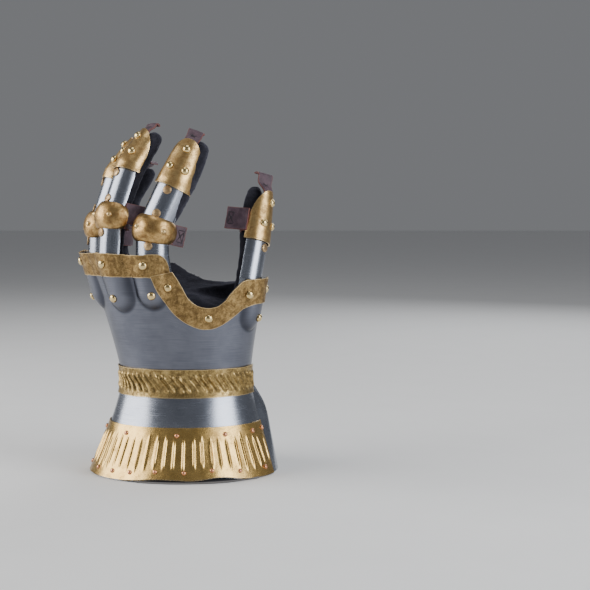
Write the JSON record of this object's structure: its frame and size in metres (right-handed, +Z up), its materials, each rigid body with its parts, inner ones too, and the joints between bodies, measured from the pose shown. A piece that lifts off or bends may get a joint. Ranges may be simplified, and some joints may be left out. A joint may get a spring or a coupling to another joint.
{
  "type": "armoured gauntlet",
  "caption": "Left-hand hourglass gauntlet: flared steel cuff, narrow wrist, knuckle plate and jointed finger plates with brass trim over a dark suede glove.",
  "frame": {"origin": "middle of the underside, on the surface that the cuff stands on", "axes": "+Z up along the forearm towards the fingertips, -Y the way the back of the hand looks, +X towards the thumb"},
  "size_m": [0.1594, 0.1314, 0.2754],
  "materials": {
    "satin_steel": "satin steel, finely brushed along the wrist",
    "bright_steel": "polished steel with soft brushing",
    "polished_brass": "polished brass with light tarnish",
    "aged_brass": "aged brass with dark patina and bright worn edges",
    "rivet_brass": "polished brass",
    "purple_leather": "dark purple-brown leather with black stitches",
    "dark_suede": "charcoal suede"
  },
  "bodies": {
    "root": {"hand_plate": "satin_steel", "inner_cuff_plate": "bright_steel", "cuff_border": "polished_brass", "wrist_band": "aged_brass", "finger_band": "aged_brass", "thumb_band": "aged_brass", "glove": "dark_suede", "knuckle_rivet_index": "rivet_brass", "knuckle_rivet_middle": "rivet_brass", "knuckle_rivet_ring": "rivet_brass", "knuckle_rivet_little": "rivet_brass", "knuckle_rivet_thumb": "rivet_brass", "index_proximal_plate": "bright_steel", "index_knuckle_cup": "polished_brass", "index_middle_plate": "bright_steel", "index_tip_plate": "polished_brass", "index_finger_strap": "purple_leather", "index_loop_strap": "purple_leather", "middle_proximal_plate": "bright_steel", "middle_knuckle_cup": "polished_brass", "middle_middle_plate": "bright_steel", "middle_tip_plate": "polished_brass", "middle_finger_strap": "purple_leather", "middle_loop_strap": "purple_leather", "ring_proximal_plate": "bright_steel", "ring_knuckle_cup": "polished_brass", "ring_middle_plate": "bright_steel", "ring_tip_plate": "polished_brass", "ring_finger_strap": "purple_leather", "ring_loop_strap": "purple_leather", "little_proximal_plate": "bright_steel", "little_knuckle_cup": "polished_brass", "little_middle_plate": "bright_steel", "little_tip_plate": "polished_brass", "little_finger_strap": "purple_leather", "little_loop_strap": "purple_leather", "thumb_proximal_plate": "bright_steel", "thumb_tip_plate": "polished_brass", "thumb_finger_strap": "purple_leather", "thumb_loop_strap": "purple_leather"}
  },
  "joints": []
}
